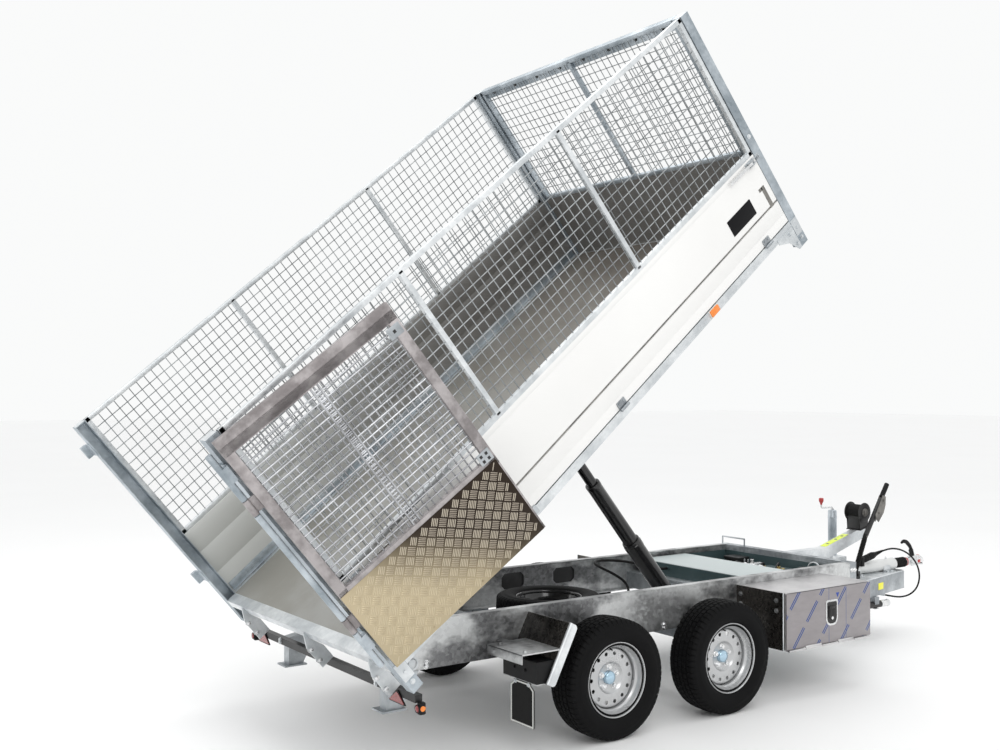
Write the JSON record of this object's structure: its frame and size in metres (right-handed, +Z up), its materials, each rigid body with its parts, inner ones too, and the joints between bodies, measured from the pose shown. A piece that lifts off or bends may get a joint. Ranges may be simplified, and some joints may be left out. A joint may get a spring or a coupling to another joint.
{
  "type": "twin-axle dump trailer",
  "caption": "Two-axle dump trailer with a tipping mesh-sided bed raised by a telescopic cylinder, a hinged rear door, toolbox, jockey wheel and ball coupling.",
  "frame": {"origin": "centre of the tow ball in the coupling head", "axes": "+X towards the towing vehicle, +Y to the left, +Z up"},
  "size_m": [5.7546, 2.115, 3.5958],
  "materials": {
    "galvanised": "hot-dip galvanised steel",
    "aluminium": "anodised aluminium boards",
    "checker": "five-bar tread plate",
    "stainless": "stainless sheet under a protective film",
    "tyre": "black tyre",
    "rim": "silver painted wheel",
    "black_steel": "black paint",
    "black_plastic": "black plastic",
    "rubber": "black rubber",
    "floor": "coated plywood",
    "tray_paint": "dark green-grey paint",
    "cover_paint": "light grey paint",
    "lamp_red": "red lens"
  },
  "bodies": {
    "chassis": {"chassis_rails": "galvanised", "crossmembers": "galvanised", "front_beam": "galvanised", "tip_shaft": "galvanised", "support_feet": "galvanised", "light_bar": "black_steel", "rear_lamps": "lamp_red", "mudguards": "galvanised", "wheel_chocks": "black_plastic", "mud_flaps": "rubber", "axles": "galvanised", "toolbox": "stainless", "spare_tyre": "tyre", "spare_rim": "rim", "front_tray": "tray_paint", "tray_cover": "cover_paint", "pump_unit": "black_steel", "drawbar": "galvanised", "overrun_device": "galvanised", "gaiter": "rubber", "coupling_head": "galvanised", "hand_grips": "black_plastic", "brake_lever": "galvanised", "winch_arm": "galvanised", "winch": "black_steel", "jack_tube": "galvanised", "jack_crank": "galvanised", "cylinder_cradle": "galvanised", "trailer_cable": "rubber", "cable_plug": "black_plastic", "cylinder_hose": "rubber"},
    "wheel_front_left": {"tyre_front_left": "tyre", "rim_front_left": "rim"},
    "wheel_front_right": {"tyre_front_right": "tyre", "rim_front_right": "rim"},
    "wheel_rear_left": {"tyre_rear_left": "tyre", "rim_rear_left": "rim"},
    "wheel_rear_right": {"tyre_rear_right": "tyre", "rim_rear_right": "rim"},
    "bed": {"bed_floor": "floor", "bed_crossbars": "galvanised", "bed_runners": "galvanised", "bed_edge_rails": "galvanised", "corner_posts": "galvanised", "side_panel_right": "aluminium", "front_panel": "aluminium", "mesh_right": "galvanised", "mesh_front": "galvanised"},
    "left_side": {"side_panel_left": "aluminium", "mesh_left": "galvanised"},
    "rear_door": {"door_leaf": "galvanised", "door_plate": "checker"},
    "box_lid": {"toolbox_lid": "stainless"},
    "cylinder": {"cylinder_barrel": "black_steel"},
    "stage_1": {"cylinder_stage1": "black_steel"},
    "stage_2": {"cylinder_stage2": "black_steel"},
    "stage_3": {"cylinder_stage3": "black_steel"},
    "jockey_leg": {"jack_leg": "galvanised"},
    "jockey_fork": {"jack_fork": "galvanised"},
    "jockey_wheel": {"jack_wheel": "tyre"}
  },
  "joints": [
    {"name": "turn_front_left", "type": "hinge", "parent": "chassis", "child": "wheel_front_left", "pos_m": [-2.81, 0.77, -0.1555], "axis": [0, 1, 0], "continuous": true},
    {"name": "turn_front_right", "type": "hinge", "parent": "chassis", "child": "wheel_front_right", "pos_m": [-2.81, -0.77, -0.1555], "axis": [0, 1, 0], "continuous": true},
    {"name": "turn_rear_left", "type": "hinge", "parent": "chassis", "child": "wheel_rear_left", "pos_m": [-3.59, 0.77, -0.1555], "axis": [0, 1, 0], "continuous": true},
    {"name": "turn_rear_right", "type": "hinge", "parent": "chassis", "child": "wheel_rear_right", "pos_m": [-3.59, -0.77, -0.1555], "axis": [0, 1, 0], "continuous": true},
    {"name": "tip", "type": "hinge", "parent": "chassis", "child": "bed", "pos_m": [-4.57, 0, 0], "axis": [0, -1, 0], "range_deg": [-40, 0]},
    {"name": "cylinder_lean", "type": "hinge", "parent": "chassis", "child": "cylinder", "pos_m": [-2.37, 0, -0.098], "axis": [0, -1, 0], "range_deg": [-1, 24.9]},
    {"name": "stage_1_slide", "type": "slide", "parent": "cylinder", "child": "stage_1", "axis": [-0.6425, 0, 0.7663], "range_m": [-0.451, 0.001]},
    {"name": "stage_2_slide", "type": "slide", "parent": "stage_1", "child": "stage_2", "axis": [-0.6425, 0, 0.7663], "range_m": [-0.431, 0.001]},
    {"name": "stage_3_slide", "type": "slide", "parent": "stage_2", "child": "stage_3", "axis": [-0.6425, 0, 0.7663], "range_m": [-0.15254, 0.001]},
    {"name": "door_swing", "type": "hinge", "parent": "bed", "child": "rear_door", "pos_m": [-4.9156, -0.962, 0.08205], "axis": [-0.6428, 0, 0.766], "range_deg": [-260, 0]},
    {"name": "side_drop", "type": "hinge", "parent": "bed", "child": "left_side", "pos_m": [-4.88878, 0.94, 0.10455], "axis": [-0.766, 0, -0.6428], "range_deg": [0, 110]},
    {"name": "lid_drop", "type": "hinge", "parent": "chassis", "child": "box_lid", "pos_m": [-2.425, -0.892, -0.166], "axis": [1, 0, 0], "range_deg": [0, 95]},
    {"name": "jockey_raise", "type": "slide", "parent": "chassis", "child": "jockey_leg", "axis": [0, 0, 1], "range_m": [0, 0.18]},
    {"name": "jockey_swivel", "type": "hinge", "parent": "jockey_leg", "child": "jockey_fork", "pos_m": [-0.625, 0.25, -0.25], "axis": [0, 0, 1], "continuous": true},
    {"name": "jockey_roll", "type": "hinge", "parent": "jockey_fork", "child": "jockey_wheel", "pos_m": [-0.655, 0.25, -0.35], "axis": [0, 1, 0], "continuous": true}
  ],
  "couplings": [
    {"joint": "cylinder_lean", "follows": "tip", "ratio": -0.59743},
    {"joint": "stage_1_slide", "follows": "tip", "m_per_rad": 0.64458},
    {"joint": "stage_2_slide", "follows": "tip", "m_per_rad": 0.61593},
    {"joint": "stage_3_slide", "follows": "tip", "m_per_rad": 0.21707}
  ]
}
